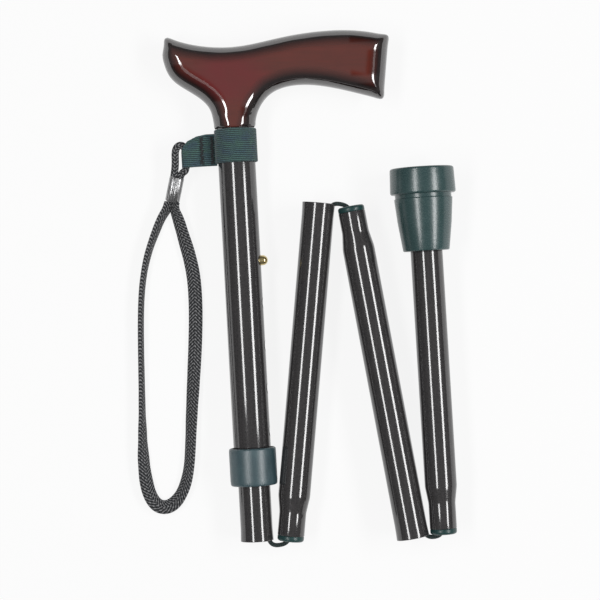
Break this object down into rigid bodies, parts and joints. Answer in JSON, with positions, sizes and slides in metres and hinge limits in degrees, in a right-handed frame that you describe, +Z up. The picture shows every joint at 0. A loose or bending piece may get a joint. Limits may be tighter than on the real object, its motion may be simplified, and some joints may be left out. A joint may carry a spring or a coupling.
{
  "type": "folding cane",
  "caption": "Folding walking cane, folded: wooden derby handle, height-adjustable gloss black tube, lock collar, sections on an elastic cord, rubber tip and wrist cord.",
  "frame": {"origin": "middle of the folded cane's footprint, on the surface that it lies on", "axes": "+X to the right across the folded sections, +Y towards the handle, +Z up out of the surface"},
  "size_m": [0.1903, 0.3083, 0.039],
  "materials": {
    "lacquered_wood": "gloss lacquer",
    "black_tube": "aluminium painted gloss black",
    "brass": "polished",
    "collar_plastic": "matte, dark blue-grey",
    "plug_plastic": "dark teal",
    "elastic_cord": "woven elastic cord, dark",
    "tip_rubber": "semi-gloss grey-green",
    "band_fabric": "ribbed elastic webbing",
    "wrist_braid": "flat braid, dark grey",
    "bright_crimp": "bright, fluted",
    "spring_steel": "tempered",
    "bush_plastic": "moulded, natural white"
  },
  "bodies": {
    "top": {"handle": "lacquered_wood", "upper_tube": "black_tube", "strap_band": "band_fabric", "wrist_cord": "wrist_braid", "cord_eye": "wrist_braid", "cord_crimp": "bright_crimp", "collet_bush": "bush_plastic"},
    "inner": {"inner_tube": "black_tube", "guide_bush": "bush_plastic", "button_spring": "spring_steel", "cord_anchor_top": "plug_plastic", "shock_cord_1": "elastic_cord"},
    "button": {"snap_button": "brass"},
    "wedge": {"wedge_ring": "bush_plastic"},
    "collar": {"lock_collar": "collar_plastic"},
    "swing_1": {"fold_cord_1": "elastic_cord"},
    "section_2": {"section_2_tube": "black_tube", "spigot_plug_2": "plug_plastic", "shock_cord_2": "elastic_cord"},
    "swing_2": {"fold_cord_2": "elastic_cord"},
    "section_3": {"section_3_tube": "black_tube", "spigot_plug_3": "plug_plastic", "shock_cord_3": "elastic_cord"},
    "swing_3": {"fold_cord_3": "elastic_cord"},
    "section_4": {"section_4_tube": "black_tube", "spigot_plug_4": "plug_plastic", "shock_cord_4": "elastic_cord", "cord_anchor_end": "plug_plastic", "rubber_tip": "tip_rubber", "tip_washer": "spring_steel"}
  },
  "joints": [
    {"name": "height_adjust", "type": "slide", "parent": "top", "child": "inner", "axis": [0.0541, -0.9985, 0], "range_m": [0, 0.1016], "deforming": ["snap_button", "button_spring"]},
    {"name": "button_press", "type": "slide", "parent": "inner", "child": "button", "axis": [-0.9973, -0.054, -0.0503], "range_m": [0, 0.0056], "stiffness_N_per_m": 600, "springref_m": -0.003, "deforming": ["button_spring"]},
    {"name": "lock_travel", "type": "slide", "parent": "top", "child": "wedge", "axis": [0.0541, -0.9985, 0], "range_m": [0, 0.002]},
    {"name": "lock_turn", "type": "hinge", "parent": "wedge", "child": "collar", "pos_m": [-0.03256, -0.11605, 0.014], "axis": [0.0541, -0.9985, 0], "range_deg": [0, 360]},
    {"name": "fold_1", "type": "hinge", "parent": "inner", "child": "swing_1", "pos_m": [-0.02094, -0.15127, 0.01449], "axis": [0.0502, 0.0027, -0.9987], "range_deg": [0, 172.1], "deforming": ["fold_cord_1"]},
    {"name": "seat_1", "type": "slide", "parent": "swing_1", "child": "section_2", "axis": [-0.0835, -0.9965, -0.0069], "range_m": [0, 0.0237], "deforming": ["fold_cord_1"]},
    {"name": "fold_2", "type": "hinge", "parent": "section_2", "child": "swing_2", "pos_m": [0.01492, 0.05243, 0.01684], "axis": [-0.0502, -0.0027, 0.9987], "range_deg": [0, 164.5], "deforming": ["fold_cord_2"]},
    {"name": "seat_2", "type": "slide", "parent": "swing_2", "child": "section_3", "axis": [-0.1855, 0.9826, -0.0066], "range_m": [0, 0.0237], "deforming": ["fold_cord_2"]},
    {"name": "fold_3", "type": "hinge", "parent": "section_3", "child": "swing_3", "pos_m": [0.07089, -0.14663, 0.01912], "axis": [0.0502, 0.0027, -0.9987], "range_deg": [-4, 172.8], "deforming": ["fold_cord_3"]},
    {"name": "seat_3", "type": "slide", "parent": "swing_3", "child": "section_4", "axis": [0.061, -0.9981, 0.0004], "range_m": [0, 0.0237], "deforming": ["fold_cord_3"]}
  ],
  "couplings": [
    {"joint": "lock_travel", "follows": "lock_turn", "m_per_rad": 0.00031831},
    {"joint": "fold_2", "follows": "fold_1", "ratio": 0.95584}
  ]
}
